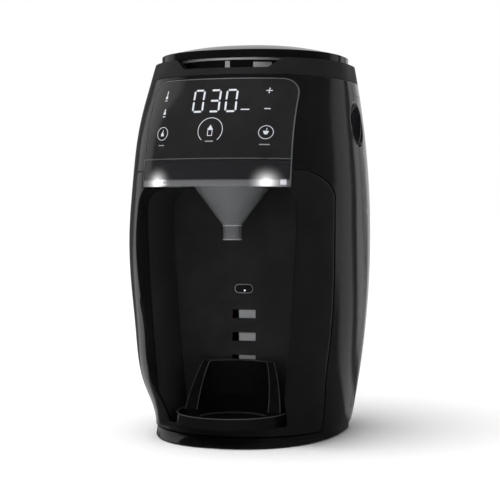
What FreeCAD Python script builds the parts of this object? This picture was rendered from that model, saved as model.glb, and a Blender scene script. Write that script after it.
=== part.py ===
import FreeCAD, Part
import Sketcher
import math
import os
import re

# Baby formula maker: a barrel-shaped counter appliance that doses powder and warm water into a bottle.
# X is across the machine, -Y is its front with the bottle bay, +Z is up, and Z = 0 is the table.
# The origin is the middle of the footprint box. All lengths are millimetres.

SIZES = {
    "overall_height": 354.2, "wall": 3, "seam_gap": 0.6, "running_gap": 0.3,
    # Barrel: half widths and rear edges at the foot, the belly and the collar.
    "foot_half_width": 86.8, "belly_half_width": 106, "collar_half_width": 94,
    "foot_rear": 103.2, "belly_rear": 119.8, "collar_rear": 111.7,
    "belly_level": 180.5, "collar_level": 322, "widest_line": 36,
    "front_squareness": 2.3, "rear_squareness": 2.5,
    # Front edge of the barrel at each level of its leaning profile.
    "front_foot": -91.5, "front_knee": -106, "front_low": -117.4, "front_thigh": -124.7,
    "front_belly": -128.4, "front_drawer": -118.4, "front_panel": -109.2, "front_brow": -93,
    "front_collar": -75.6, "front_crown": -62,
    "knee_level": 50, "low_level": 100, "thigh_level": 140, "drawer_level": 230,
    "panel_level": 272, "brow_level": 300, "crown_level": 340,
    # Plinth, feet and floor of the bay.
    "plinth_bottom": 1.2, "plinth_top": 8.4, "plinth_inset": 1, "plate": 2.4,
    "foot_radius": 9, "foot_across": 50, "foot_front": -48, "foot_back": 70,
    "screw_head_radius": 3.4, "screw_head_height": 2.2, "screw_radius": 1.7, "screw_inward": 16,
    "body_bottom": 9, "bay_floor": 17, "tank_seat": 23.4,
    # Bottle bay.
    "bay_foot_half": 54, "bay_middle_half": 62, "bay_head_half": 67, "bay_middle_level": 104,
    "bay_head_level": 186, "bay_top": 224.4, "bay_corner": 18, "bay_lip": -78.5, "bay_back": -7,
    "bay_flare": 4.6, "bay_flare_front": -98, "liner_wall": 2.4, "bottle_axis": -44,
    # Arch frame round the bay.
    "frame_setback": 12, "frame_skin": 4, "frame_return": 7, "frame_top": 238.6, "frame_shoulder": 30,
    "lip_notch_half": 27.5, "lip_notch_depth": 5,
    # Front panel and funnel drawer.
    "panel_half_width": 66, "panel_top": 318.6, "panel_corner": 14, "panel_bottom": 248,
    "trim_width": 0.9, "glass_inset": 0.3, "glass_thickness": 2.4,
    "drawer_bottom": 225, "carrier_half_width": 42, "carrier_bottom": 227.1, "carrier_plate": 2.4,
    "carrier_rim_top": 242.6, "carrier_rim": 2, "carrier_rear": -6.5,
    "funnel_radius": 35, "funnel_flange": 37.2, "funnel_wall": 1.8, "spout_radius": 8.2,
    "spout_top": 191.5, "spout_bottom": 178.6, "rail_width": 4, "rail_height": 5.6,
    "lamp_radius": 2.6, "lamp_across": 54, "lamp_height": 5,
    # Openings in the back of the bay.
    "pill_level": 133.3, "pill_width": 18, "pill_height": 8.8, "slot_width": 22, "slot_height": 8,
    "slot_first": 68.5, "slot_pitch": 20.8, "keeper_width": 16, "keeper_shift": 3, "fit_gap": 0.2,
    # Bottle tray.
    "tray_radius": 50, "tray_bottom": 17.4, "tray_rim": 26.4, "tray_floor": 20.4, "tray_wall": 2.2,
    "rest_inner": 33, "rest_foot_radius": 45, "rest_head_radius": 38.4, "rest_top": 68.4, "rest_top_angle": 54,
    # Collar, lid and hinge.
    "collar_top": 338, "notch_top_half": 50, "notch_bottom_half": 38, "notch_depth": 9.6,
    "lid_bottom": 338.5, "lid_rim_top": 345.6, "lid_half_width": 85.4, "lid_front": -57, "lid_rear": 100.5,
    "lid_wall": 2.4, "lid_dome_inset": 52, "hinge_y": 106.5, "hinge_z": 343.6, "pin_radius": 2,
    "pin_clearance": 0.05, "knuckle_radius": 4.2, "knuckle_inner": 20, "knuckle_outer": 32,
    "ear_outer": 40, "seal_inner": 66.2, "seal_outer": 70.6, "seal_bottom": 336.6,
    # Powder container, wheel and drive.
    "container_y": 14, "container_radius": 70, "container_wall": 2.5, "container_bottom": 248.3,
    "container_top": 336.2, "well_radius": 72.4, "well_wall": 2.6, "shelf_bottom": 245,
    "shelf_top": 248, "drop_radius": 8, "pocket_radius": 6, "pocket_count": 12, "wheel_radius": 66.6,
    "wheel_bottom": 251.4, "wheel_thickness": 6, "shaft_radius": 4, "shaft_bottom": 233,
    "shaft_top": 302, "hub_radius": 8, "arm_length": 56, "arm_width": 4, "arm_height": 6,
    "dog_radius": 8, "dog_height": 5, "chamber_radius": 14, "chamber_wall": 2,
    "chamber_floor": 229, "motor_radius": 12, "motor_length": 36, "gearbox_radius": 12.6,
    "gearbox_length": 11,
    # Rear water tank.
    "seam": 30, "tank_gap": 0.8, "tank_wall": 2.5, "tank_bottom": 24, "tank_top": 306.4,
    "tank_step": 228, "tank_scoop_gap": 3, "tank_cover": 2.2, "fill_half_width": 20,
    "fill_front": 96.5, "fill_rear": 108, "deck_bottom": 309.6,
    "grip_y": 20, "grip_z": 283, "grip_out": 102, "grip_depth": 13, "grip_length": 22,
    "grip_height": 21, "grip_wall": 2.5,
    "dock_x": -40, "dock_z": 42, "spigot_radius": 5, "spigot_end": 17, "dock_radius": 9, "dock_front": 13,
    # Water path and electrics.
    "pump_x": -68, "service_y": 11, "pump_radius": 12, "pump_height": 40, "heater_x": 66,
    "heater_radius": 12, "heater_height": 108, "hose_radius": 3, "hose_bend": 12, "cross_level": 76,
    "nozzle_x": 20, "nozzle_y": -18, "nozzle_radius": 5, "nozzle_bottom": 233.2, "nozzle_level": 238,
    "board_thickness": 1.6, "power_board_half": 46, "power_board_bottom": 90, "power_board_top": 170,
    "post_radius": 2.5, "post_inset": 6, "control_board_half": 44, "control_post_x": 22, "control_board_y": -71,
    "control_board_bottom": 252, "control_board_top": 302, "display_half": 24, "display_depth": 6,
    "display_bottom": 287, "display_top": 301, "inlet_half": 11, "inlet_bottom": 11.7, "inlet_top": 20,
    "inlet_depth": 12, "inlet_face": 105.2,
}

doc = FreeCAD.newDocument("formula_maker")
sheet = doc.addObject("Spreadsheet::Sheet", "Sizes")
for row, (alias, number) in enumerate(SIZES.items(), start=1):
    sheet.set(f"A{row}", alias)
    sheet.set(f"B{row}", str(number))
    sheet.setAlias(f"B{row}", alias)
doc.recompute()

NODES = []
FRONT = -160
BEHIND = 160
SIDE = 130


def linked(text):
    """Turn the size names in an expression into references to the sheet's cells."""
    return re.sub(r"[a-z][a-z_]+", lambda m: "Sizes." + m.group(0) if m.group(0) in SIZES else m.group(0), text)


def size(text):
    """Value of an expression of size names."""
    return float(sheet.evalExpression(linked(text)))


def bind(item, **expressions):
    """Tie properties of a document object to expressions of size names."""
    for name, text in expressions.items():
        item.setExpression(name.replace("__", "."), linked(text))


def node(item, label):
    """Name a finished sub-part."""
    item.Label = label
    NODES.append(item)
    return item


def feature(label, shape):
    """Sub-part whose freeform shape comes from the functions below."""
    item = doc.addObject("Part::Feature", label)
    item.Shape = shape
    item.Placement = FreeCAD.Placement()
    return node(item, label)


# Plain solids in machine coordinates, sized by expressions.

def block(x_low, x_high, y_low, y_high, z_low, z_high):
    lows = [size(str(text)) for text in (x_low, y_low, z_low)]
    highs = [size(str(text)) for text in (x_high, y_high, z_high)]
    lengths = [high - low for low, high in zip(lows, highs)]
    return Part.makeBox(*lengths, FreeCAD.Vector(*lows))


def column(x, y, z_low, z_high, radius):
    low = size(str(z_low))
    foot = FreeCAD.Vector(size(str(x)), size(str(y)), low)
    return Part.makeCylinder(size(radius), size(str(z_high)) - low, foot)


def rod_along_x(x_low, x_high, y, z, radius):
    low = size(str(x_low))
    foot = FreeCAD.Vector(low, size(y), size(z))
    return Part.makeCylinder(size(radius), size(str(x_high)) - low, foot, FreeCAD.Vector(1, 0, 0))


def rod_along_y(x, y_low, y_high, z, radius):
    low = size(str(y_low))
    foot = FreeCAD.Vector(size(str(x)), low, size(z))
    return Part.makeCylinder(size(radius), size(str(y_high)) - low, foot, FreeCAD.Vector(0, 1, 0))


def mirrored(shape):
    return shape.mirror(FreeCAD.Vector(), FreeCAD.Vector(1, 0, 0))


def both_sides(shape):
    return shape.fuse(mirrored(shape))


def extruded(wire, length):
    return Part.Face(wire).extrude(FreeCAD.Vector(0, length, 0))


# The barrel.

LEVELS = [
    ("0", "front_foot"), ("knee_level", "front_knee"), ("low_level", "front_low"),
    ("thigh_level", "front_thigh"), ("belly_level", "front_belly"), ("drawer_level", "front_drawer"),
    ("panel_level", "front_panel"), ("brow_level", "front_brow"), ("collar_level", "front_collar"),
    ("crown_level", "front_crown"),
]
PLAN_POINTS = 32


def bulge(level, foot, belly, collar):
    """Barrel curve through a foot, a belly and a collar value."""
    middle = size("belly_level")
    end, reach = (foot, middle) if level < middle else (collar, size("collar_level") - middle)
    return size(belly) - (size(belly) - size(end)) * ((level - middle) / reach) ** 2


def half_width(level):
    return bulge(level, "foot_half_width", "belly_half_width", "collar_half_width")


def plan_wire(level, across, front, rear):
    """Closed plan outline at one level: an oval with full corners, squarer behind."""
    middle = size("widest_line")
    points = []
    for step in range(PLAN_POINTS):
        angle = 2 * math.pi * step / PLAN_POINTS
        cosine, sine = math.cos(angle), math.sin(angle)
        power = 2 / (size("front_squareness") if sine < 0 else size("rear_squareness"))
        reach = middle - front if sine < 0 else rear - middle
        x = math.copysign(abs(cosine) ** power, cosine) * across
        y = middle + math.copysign(abs(sine) ** power, sine) * reach
        points.append(FreeCAD.Vector(x, y, level))
    curve = Part.BSplineCurve()
    curve.interpolate(Points=points, PeriodicFlag=True)
    return Part.Wire(curve.toShape())


def barrel(inset):
    """Solid barrel with its outer face moved in by an inset."""
    wires = []
    for level_name, front_name in LEVELS:
        level = size(level_name)
        across = half_width(level) - inset
        rear = bulge(level, "foot_rear", "belly_rear", "collar_rear") - inset
        wires.append(plan_wire(level, across, size(front_name) + inset, rear))
    return Part.makeLoft(wires, True, False)


OUTER = barrel(0)
INNER = barrel(size("wall"))
SNUG = barrel(size("wall + fit_gap"))
FLUSH = barrel(size("glass_inset"))
GLASS_BACK = barrel(size("glass_inset + glass_thickness"))


# Outlines seen from the front.

def upright(points_x_z):
    return [FreeCAD.Vector(x, FRONT, z) for x, z in points_x_z]


def bay_wire(grow, y, floor="bay_floor"):
    """Arched bay outline, grown sideways and upwards, on the plane at y."""
    foot = (size("bay_foot_half") + grow, size(floor))
    middle = (size("bay_middle_half") + grow, size("bay_middle_level"))
    head = (size("bay_head_half") + grow, size("bay_head_level"))
    corner = size("bay_corner")
    top = size("bay_top") + min(grow, size("liner_wall"))
    shoulder = (head[0], top - corner)
    bend = (head[0] - corner * (1 - math.sqrt(0.5)), top - corner * (1 - math.sqrt(0.5)))
    crown = (head[0] - corner, top)

    def spot(pair, side):
        return FreeCAD.Vector(side * pair[0], y, pair[1])

    edges = [Part.LineSegment(spot(foot, -1), spot(foot, 1)).toShape()]
    for side in (1, -1):
        edges.append(Part.Arc(spot(foot, side), spot(middle, side), spot(head, side)).toShape())
        edges.append(Part.LineSegment(spot(head, side), spot(shoulder, side)).toShape())
        edges.append(Part.Arc(spot(shoulder, side), spot(bend, side), spot(crown, side)).toShape())
    edges.append(Part.LineSegment(spot(crown, 1), spot(crown, -1)).toShape())
    return Part.Wire(Part.__sortEdges__(edges))


def bay_space(grow, y_front, y_back, floor="bay_floor"):
    return extruded(bay_wire(grow, y_front, floor), y_back - y_front)


def panel_prism(shrink, bottom):
    """Upright panel outline with round top corners, drawn in by shrink, through the front half."""
    half = size("panel_half_width") - shrink
    top = size("panel_top") - shrink
    corner = size("panel_corner") - shrink
    low = size(bottom)
    bend = corner * (1 - math.sqrt(0.5))
    corners = upright([(-half, low), (half, low), (half, top - corner), (half - bend, top - bend),
                       (half - corner, top), (-half + corner, top), (-half + bend, top - bend),
                       (-half, top - corner)])
    edges = [
        Part.LineSegment(corners[0], corners[1]).toShape(),
        Part.LineSegment(corners[1], corners[2]).toShape(),
        Part.Arc(corners[2], corners[3], corners[4]).toShape(),
        Part.LineSegment(corners[4], corners[5]).toShape(),
        Part.Arc(corners[5], corners[6], corners[7]).toShape(),
        Part.LineSegment(corners[7], corners[0]).toShape(),
    ]
    return extruded(Part.Wire(edges), -FRONT)


def frame_prism(grow):
    """Outer outline of the arch frame: it follows the barrel's side and turns in over a shoulder."""
    low = size("body_bottom") + size("seam_gap") - grow
    top = size("frame_top") + grow
    turn = size("frame_shoulder")
    steps = 5
    side = []
    for step in range(steps + 1):
        level = low + (top - turn - low) * step / steps
        side.append((half_width(level) - size("frame_setback") + grow, level))
    head_x, head_z = side[-1]
    reach = turn * 0.62
    bend = (head_x - reach * (1 - math.sqrt(0.5)), head_z + turn * math.sqrt(0.5))
    crown = (head_x - reach, top)
    edges = []
    for sign in (1, -1):
        line = Part.BSplineCurve()
        line.interpolate(upright([(sign * x, z) for x, z in side]))
        edges.append(line.toShape())
        arc = Part.BSplineCurve()
        arc.interpolate(upright([(sign * head_x, head_z), (sign * bend[0], bend[1]), (sign * crown[0], crown[1])]))
        edges.append(arc.toShape())
    ends = upright([(side[0][0], low), (-side[0][0], low), (crown[0], top), (-crown[0], top)])
    edges.append(Part.LineSegment(ends[0], ends[1]).toShape())
    edges.append(Part.LineSegment(ends[2], ends[3]).toShape())
    return extruded(Part.Wire(Part.__sortEdges__(edges)), -FRONT)


def grip_ball(grow):
    """Finger recess at the right side, a ball stretched to the recess's length, height and depth."""
    ball = Part.makeSphere(1)
    stretch = FreeCAD.Matrix()
    stretch.scale(size("grip_depth") + grow, size("grip_length") + grow, size("grip_height") + grow)
    stretched = ball.transformGeometry(stretch)
    stretched.translate(FreeCAD.Vector(size("grip_out"), size("grip_y"), size("grip_z")))
    return stretched


GRIP = both_sides(grip_ball(0))
GRIP_WALL = both_sides(grip_ball(size("grip_wall")))


# Outer body.

def body_shell():
    solid = OUTER.common(block(-SIDE, SIDE, FRONT, BEHIND, "body_bottom", "collar_level - 0.4"))
    hollow = INNER.common(block(-SIDE, SIDE, FRONT, BEHIND, "body_bottom - 1", "deck_bottom"))
    shell = solid.cut(hollow)
    shell = shell.cut(column(0, "container_y", "deck_bottom - 1", "collar_level", "well_radius + well_wall"))
    shell = shell.cut(block(-SIDE, SIDE, "seam", BEHIND, "tank_seat", "deck_bottom"))
    cup = grip_ball(size("grip_wall")).common(barrel(size("wall / 2")))
    cup = cup.common(block(0, SIDE, FRONT, "seam", 0, "deck_bottom"))
    shell = shell.fuse(both_sides(cup)).cut(GRIP)
    shell = shell.cut([frame_prism(size("seam_gap")), panel_prism(-size("fit_gap"), "bay_floor")])
    return shell.cut(block("-inlet_half - fit_gap", "inlet_half + fit_gap", "seam", BEHIND,
                           "inlet_bottom - fit_gap", "inlet_top + fit_gap"))


def inner_chassis():
    rear_wall = SNUG.common(block(-SIDE, SIDE, "seam - wall", "seam", "bay_floor - 5", "chamber_floor"))
    tank_floor = SNUG.common(block(-SIDE, SIDE, "seam - wall", BEHIND, "tank_seat - wall", "tank_seat"))
    well = column(0, "container_y", "shelf_bottom", "collar_level - 0.4", "well_radius + well_wall - fit_gap")
    well = well.cut(column(0, "container_y", "shelf_top", "overall_height", "well_radius"))
    chamber = column(0, "container_y", "chamber_floor - wall", "shelf_bottom", "chamber_radius + chamber_wall")
    chamber = chamber.cut(column(0, "container_y", "chamber_floor", "shelf_bottom", "chamber_radius"))
    holes = [
        column(0, "container_y", 0, "shelf_top + 1", "shaft_radius + running_gap"),
        column(0, "bottle_axis", 0, "shelf_top + 1", "drop_radius + 1"),
        rod_along_y("dock_x", FRONT, BEHIND, "dock_z", "spigot_radius + running_gap"),
    ]
    return rear_wall.fuse([tank_floor, well, chamber]).cut(holes).removeSplitter()


def front_frame():
    skin = OUTER.cut(barrel(size("frame_skin"))).common(frame_prism(0))
    turned_in = OUTER.common(bay_space(size("frame_return"), FRONT, size("bay_lip") + 2))
    lip = OUTER.common(block("-bay_foot_half - frame_return", "bay_foot_half + frame_return", FRONT,
                             "bay_lip", "body_bottom + seam_gap", "bay_floor"))
    flare = Part.makeLoft([bay_wire(0, size("bay_lip")), bay_wire(size("bay_flare"), size("bay_flare_front"))],
                          True, True)
    notch_radius = size("(lip_notch_half^2 + lip_notch_depth^2) / (2 * lip_notch_depth)")
    centre_z = size("bay_floor - lip_notch_depth") + notch_radius
    notch = Part.makeCylinder(notch_radius, 70, FreeCAD.Vector(0, FRONT, centre_z), FreeCAD.Vector(0, 1, 0))
    frame = skin.fuse([turned_in, lip]).common(block(-SIDE, SIDE, FRONT, 0, "body_bottom + seam_gap", "frame_top"))
    frame = frame.cut([
        flare, bay_space(size("bay_flare"), FRONT, size("bay_flare_front")),
        bay_space(0, FRONT, 0), notch, panel_prism(-size("fit_gap"), "bay_top"),
    ])
    return frame.removeSplitter()


def base_pan():
    inside = barrel(size("frame_skin + fit_gap"))
    plate = inside.common(block(-SIDE, SIDE, "bay_lip + fit_gap", BEHIND, "body_bottom", "body_bottom + plate"))
    floor = inside.common(block("-bay_foot_half", "bay_foot_half", "bay_lip + fit_gap", "bay_back",
                                "body_bottom", "bay_floor"))
    return plate.fuse(floor).cut(screw_holes("body_bottom + plate + 1"))


def screw_places():
    for side in (-1, 1):
        for y_name in ("foot_front", "foot_back"):
            yield side * size("foot_across - screw_inward"), y_name


def screw_holes(top):
    return [column(x, y_name, 0, top, "screw_radius + 0.05") for x, y_name in screw_places()]


def plinth():
    outer = barrel(size("plinth_inset")).common(block(-SIDE, SIDE, FRONT, BEHIND, "plinth_bottom", "plinth_top"))
    hollow = barrel(size("plinth_inset + wall"))
    hollow = hollow.common(block(-SIDE, SIDE, FRONT, BEHIND, 0, "plinth_top - plate"))
    return outer.cut(hollow).cut(screw_holes("plinth_top + 1"))


def top_collar():
    ring = OUTER.common(block(-SIDE, SIDE, FRONT, BEHIND, "collar_level", "collar_top"))
    hollow = INNER.common(block(-SIDE, SIDE, FRONT, BEHIND, "collar_level", "collar_top - wall"))
    hollow = hollow.cut(column(0, "container_y", "collar_level", "collar_top", "well_radius + wall"))
    ring = ring.cut([hollow, column(0, "container_y", "collar_level", "collar_top", "well_radius")])
    low = size("collar_top - notch_depth")
    notch_points = upright([(-size("notch_top_half"), size("collar_top") + 1), (-size("notch_bottom_half"), low),
                            (size("notch_bottom_half"), low), (size("notch_top_half"), size("collar_top") + 1)])
    notch_points.append(notch_points[0])
    notch = extruded(Part.makePolygon(notch_points), -FRONT)
    ear = block("knuckle_outer + 0.4", "ear_outer", "hinge_y - knuckle_radius", "hinge_y + knuckle_radius",
                "collar_top - 1", "hinge_z")
    ear = ear.fuse(rod_along_x("knuckle_outer + 0.4", "ear_outer", "hinge_y", "hinge_z", "knuckle_radius"))
    ring = ring.cut(notch).fuse(both_sides(ear))
    return ring.cut(rod_along_x(-SIDE, SIDE, "hinge_y", "hinge_z", "pin_radius + 0.01")).removeSplitter()


DOME_STEPS = 5


def lid_solid(inset, lift):
    """Low dome with a straight rim, drawn in and lowered for its hollow."""
    wires = [plan_wire(size("lid_bottom") - (0 if lift == 0 else 1), size("lid_half_width") - inset,
                       size("lid_front") + inset, size("lid_rear") - inset)]
    rim = size("lid_rim_top") - lift
    rise = size("overall_height") - size("lid_rim_top")
    for step in range(DOME_STEPS + 1):
        part_way = step / DOME_STEPS
        draw = inset + size("lid_dome_inset") * part_way
        wires.append(plan_wire(rim + rise * math.sin(part_way * math.pi / 2), size("lid_half_width") - draw,
                               size("lid_front") + draw, size("lid_rear") - draw))
    rim_wire, dome_wires = wires[1], wires[1:]
    rim_solid = Part.makeLoft([wires[0], rim_wire], True, True)
    dome = Part.makeLoft(dome_wires, True, False)
    return rim_solid.fuse(dome)


def lid():
    outer = lid_solid(0, 0)
    shell = outer.cut(lid_solid(size("lid_wall"), size("lid_wall")))
    ring = column(0, "container_y", "lid_bottom", "overall_height", "seal_outer")
    ring = ring.cut(column(0, "container_y", "lid_bottom - 1", "overall_height", "seal_inner"))
    ring = ring.common(outer)
    knuckle = rod_along_x("knuckle_inner", "knuckle_outer", "hinge_y", "hinge_z", "knuckle_radius")
    strap = block("knuckle_inner", "knuckle_outer", "lid_rear - 6", "hinge_y", "hinge_z - 3", "hinge_z + 3")
    shell = shell.fuse([ring, both_sides(knuckle.fuse(strap))])
    bore = rod_along_x(-SIDE, SIDE, "hinge_y", "hinge_z", "pin_radius + pin_clearance")
    return shell.cut(bore)


def water_tank():
    y_front = "seam + tank_gap"
    scoop = column(0, "container_y", "tank_step", "overall_height", "well_radius + well_wall + tank_scoop_gap")
    inner_scoop = column(0, "container_y", "tank_step - tank_wall", "overall_height",
                         "well_radius + well_wall + tank_scoop_gap + tank_wall")
    solid = OUTER.common(block(-SIDE, SIDE, y_front, BEHIND, "tank_bottom", "tank_top")).cut(scoop).cut(GRIP)
    hollow = barrel(size("tank_wall"))
    hollow = hollow.common(block(-SIDE, SIDE, y_front + " + tank_wall", BEHIND, "tank_bottom + tank_wall",
                                 "overall_height"))
    hollow = hollow.cut(inner_scoop).cut(GRIP_WALL)
    tank = solid.cut(hollow)
    return tank.cut(rod_along_y("dock_x", "seam", "seam + 6", "dock_z", "spigot_radius - 1.5")).removeSplitter()


def tank_cover():
    """Lid of the tank with a filling slot at the rear, under the deck when the tank is docked."""
    plate = OUTER.common(block(-SIDE, SIDE, "seam + tank_gap", BEHIND, "tank_top", "tank_top + tank_cover"))
    plate = plate.cut(column(0, "container_y", "tank_step", "overall_height",
                             "well_radius + well_wall + tank_scoop_gap"))
    return plate.cut(block("-fill_half_width", "fill_half_width", "fill_front", "fill_rear", "tank_top",
                           "tank_top + tank_cover"))


def tank_spigot():
    tube = rod_along_y("dock_x", "spigot_end", "seam + tank_gap", "dock_z", "spigot_radius")
    return tube.cut(rod_along_y("dock_x", "spigot_end - 1", "seam + 5", "dock_z", "spigot_radius - 1.5"))


def tank_dock():
    socket = rod_along_y("dock_x", "dock_front", "seam - wall", "dock_z", "dock_radius")
    return socket.cut(rod_along_y("dock_x", "spigot_end - running_gap", "seam", "dock_z",
                                  "spigot_radius + running_gap"))


def panel_glass():
    plate = FLUSH.cut(GLASS_BACK)
    return plate.common(panel_prism(size("trim_width"), "panel_bottom + trim_width"))


def panel_trim():
    plate = OUTER.cut(GLASS_BACK)
    ring = panel_prism(0, "drawer_bottom").cut(panel_prism(size("trim_width"), "drawer_bottom - 1"))
    bar = block("-panel_half_width + 0.3", "panel_half_width - 0.3", FRONT, 0, "panel_bottom",
                "panel_bottom + trim_width - 0.1")
    return plate.common(ring.fuse(bar))


def drawer_front():
    plate = FLUSH.cut(GLASS_BACK)
    half = "panel_half_width - trim_width - running_gap"
    return plate.common(block("-(" + half + ")", half, FRONT, 0, "drawer_bottom", "panel_bottom - running_gap"))


def drawer_carrier():
    space = GLASS_BACK.common(block("-carrier_half_width", "carrier_half_width", FRONT, "carrier_rear",
                                    "carrier_bottom", "carrier_rim_top"))
    hollow = block("-carrier_half_width + carrier_rim", "carrier_half_width - carrier_rim",
                   "bay_flare_front", 0, "carrier_bottom + carrier_plate", 300)
    front_cut = block(-SIDE, SIDE, FRONT, "bay_flare_front - carrier_rim", "carrier_bottom + carrier_plate", 300)
    hole = column(0, "bottle_axis", 0, 300, "funnel_radius + running_gap")
    return space.cut([hollow, front_cut, hole]).removeSplitter()


def drawer_rails():
    rail = block("carrier_half_width + running_gap", "carrier_half_width + rail_width + running_gap", "bay_lip + 3",
                 "carrier_rear", "bay_top + liner_wall", "bay_top + liner_wall + rail_height")
    return Part.makeCompound([rail, mirrored(rail)])


def bay_liner():
    outer = bay_space(size("liner_wall"), size("bay_lip + 2.3"), size("bay_back + liner_wall"))
    outer = outer.common(barrel(size("frame_skin + fit_gap")))
    liner = outer.cut(bay_space(0, size("bay_lip"), size("bay_back")))
    slot = column(0, "bottle_axis", "bay_top - 20", 300, "funnel_radius + 1")
    slot = slot.fuse(block("-funnel_radius - 1", "funnel_radius + 1", FRONT, "bottle_axis", "bay_top - 20", 300))
    slot = slot.common(block(-SIDE, SIDE, FRONT, "bay_back", "bay_top - 5", 300))
    cuts = [slot, pill("pill_width + 2 * fit_gap", "pill_height + 2 * fit_gap", "bay_back - 1", "bay_back + 9")]
    for level in slot_levels():
        cuts.append(block("-slot_width / 2", "slot_width / 2", "bay_back - 1", "bay_back + 9",
                          f"{level} - slot_height / 2", f"{level} + slot_height / 2"))
    return liner.cut(cuts).removeSplitter()


def slot_levels():
    return [f"(slot_first + {count} * slot_pitch)" for count in range(3)]


def pill(width, height, y_low, y_high):
    """Flat plate with half-round ends, on the pill's level."""
    round_x = f"({width} - {height}) / 2"
    shape = block("-" + round_x, round_x, y_low, y_high, f"pill_level - ({height}) / 2",
                  f"pill_level + ({height}) / 2")
    end = rod_along_y(round_x, y_low, y_high, "pill_level", f"({height}) / 2")
    return shape.fuse([end, mirrored(end)]).removeSplitter()


def slot_keepers():
    keepers = []
    for level in slot_levels():
        tongue = block("keeper_shift - keeper_width / 2", "keeper_shift + keeper_width / 2 - fit_gap",
                       "bay_back + 1.2", "bay_back + liner_wall + 2",
                       f"{level} - slot_height / 2 + fit_gap", f"{level} + slot_height / 2 - fit_gap")
        back = block("keeper_shift - keeper_width / 2", "slot_width / 2 + 3", "bay_back + liner_wall",
                     "bay_back + liner_wall + 2", f"{level} - slot_height / 2 - 3", f"{level} + slot_height / 2 + 3")
        keepers.append(tongue.fuse(back).removeSplitter())
    return Part.makeCompound(keepers)


def bottle_tray():
    disc = column(0, "bottle_axis", "tray_bottom", "tray_rim", "tray_radius")
    disc = disc.common(block(-SIDE, SIDE, FRONT, "bay_back - 0.4", 0, 100))
    dish = column(0, "bottle_axis", "tray_floor", 100, "tray_radius - tray_wall")
    dish = dish.common(block(-SIDE, SIDE, FRONT, "bay_back - 0.4 - tray_wall", 0, 100))
    rest_height = size("rest_top") - size("tray_floor") + 1
    rest = Part.makeCone(size("rest_foot_radius"), size("rest_head_radius"), rest_height,
                         place(0, "bottle_axis", "tray_floor - 1"))
    rest = rest.cut(column(0, "bottle_axis", 0, 100, "rest_inner"))
    angle = math.radians(size("rest_top_angle"))
    corner_y = size("bottle_axis") + size("rest_inner") * math.cos(angle)
    slope = [FreeCAD.Vector(-SIDE, corner_y, size("rest_top") + 1),
             FreeCAD.Vector(-SIDE, size("bottle_axis"), size("tray_rim")),
             FreeCAD.Vector(-SIDE, size("bottle_axis"), size("tray_floor") - 2),
             FreeCAD.Vector(-SIDE, FRONT, size("tray_floor") - 2),
             FreeCAD.Vector(-SIDE, FRONT, size("rest_top") + 1)]
    slope.append(slope[0])
    front = Part.Face(Part.makePolygon(slope)).extrude(FreeCAD.Vector(2 * SIDE, 0, 0))
    rest = rest.cut(front).common(block(-SIDE, SIDE, FRONT, "bay_back - 0.4", 0, 100))
    return disc.cut(dish).fuse(rest).removeSplitter()


# Electrics and water path made of plain solids.

def hose(points, bend):
    """Round tube along straight runs joined by tangent arcs of one bend radius."""
    edges = []
    start = points[0]
    for before, corner, after in zip(points, points[1:], points[2:]):
        into = (corner - before).normalize()
        out = (after - corner).normalize()
        arc_start = corner - into * bend
        arc_end = corner + out * bend
        middle = corner + (out - into) * (bend * (1 - math.sqrt(0.5)))
        edges.append(Part.LineSegment(start, arc_start).toShape())
        edges.append(Part.Arc(arc_start, middle, arc_end).toShape())
        start = arc_end
    edges.append(Part.LineSegment(start, points[-1]).toShape())
    path = Part.Wire(edges)
    direction = points[1] - points[0]
    rings = []
    for radius in (size("hose_radius"), size("hose_radius") - 1):
        circle = Part.Wire(Part.makeCircle(radius, points[0], direction))
        rings.append(path.makePipeShell([circle], True, False))
    return rings[0].cut(rings[1])


def place(x, y, z):
    return FreeCAD.Vector(size(str(x)), size(str(y)), size(str(z)))


def pump_hose():
    start = "body_bottom + plate + pump_height"
    points = [place("pump_x", "service_y", start), place("pump_x", "service_y", "cross_level"),
              place("heater_x - heater_radius", "service_y", "cross_level")]
    return hose(points, size("hose_bend"))


def nozzle_hose():
    points = [place("heater_x", "service_y", "body_bottom + plate + heater_height"),
              place("heater_x", "service_y", "nozzle_level"), place("nozzle_x", "service_y", "nozzle_level"),
              place("nozzle_x", "nozzle_y + nozzle_radius - 0.4", "nozzle_level")]
    return hose(points, size("hose_bend"))


def water_nozzle():
    body = column("nozzle_x", "nozzle_y", "nozzle_bottom", "shelf_bottom", "nozzle_radius")
    inlet = rod_along_y("nozzle_x", "nozzle_y", "nozzle_y + nozzle_radius + 4", "nozzle_level", "hose_radius")
    channel = column("nozzle_x", "nozzle_y", 0, "nozzle_level", "1.5")
    return body.cut([inlet, channel])


feature("body_shell", body_shell())
feature("inner_chassis", inner_chassis())
feature("front_frame", front_frame())
feature("base_pan", base_pan())
feature("plinth", plinth())
feature("top_collar", top_collar())
feature("lid", lid())
feature("water_tank", water_tank())
feature("tank_cover", tank_cover())
feature("tank_spigot", tank_spigot())
feature("tank_dock", tank_dock())
feature("panel_glass", panel_glass())
feature("panel_trim", panel_trim())
feature("drawer_front", drawer_front())
feature("drawer_carrier", drawer_carrier())
feature("drawer_rails", drawer_rails())
feature("bay_liner", bay_liner())
feature("slot_keepers", slot_keepers())
feature("bottle_tray", bottle_tray())
feature("pump_hose", pump_hose())
feature("nozzle_hose", nozzle_hose())
feature("water_nozzle", water_nozzle())


# Pieces made with sketches.

def new_body(label):
    body = doc.addObject("PartDesign::Body", label)
    return node(body, label)


def plane(body, role):
    return next(item for item in body.Origin.OriginFeatures if item.Role == role)


def new_sketch(body, name, role, offset="0"):
    """Sketch on an origin plane; the offset is along the plane's own normal."""
    sketch = body.newObject("Sketcher::SketchObject", name)
    sketch.AttachmentSupport = [(plane(body, role), "")]
    sketch.MapMode = "FlatFace"
    bind(sketch, AttachmentOffset__Base__z=offset)
    return sketch


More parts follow.
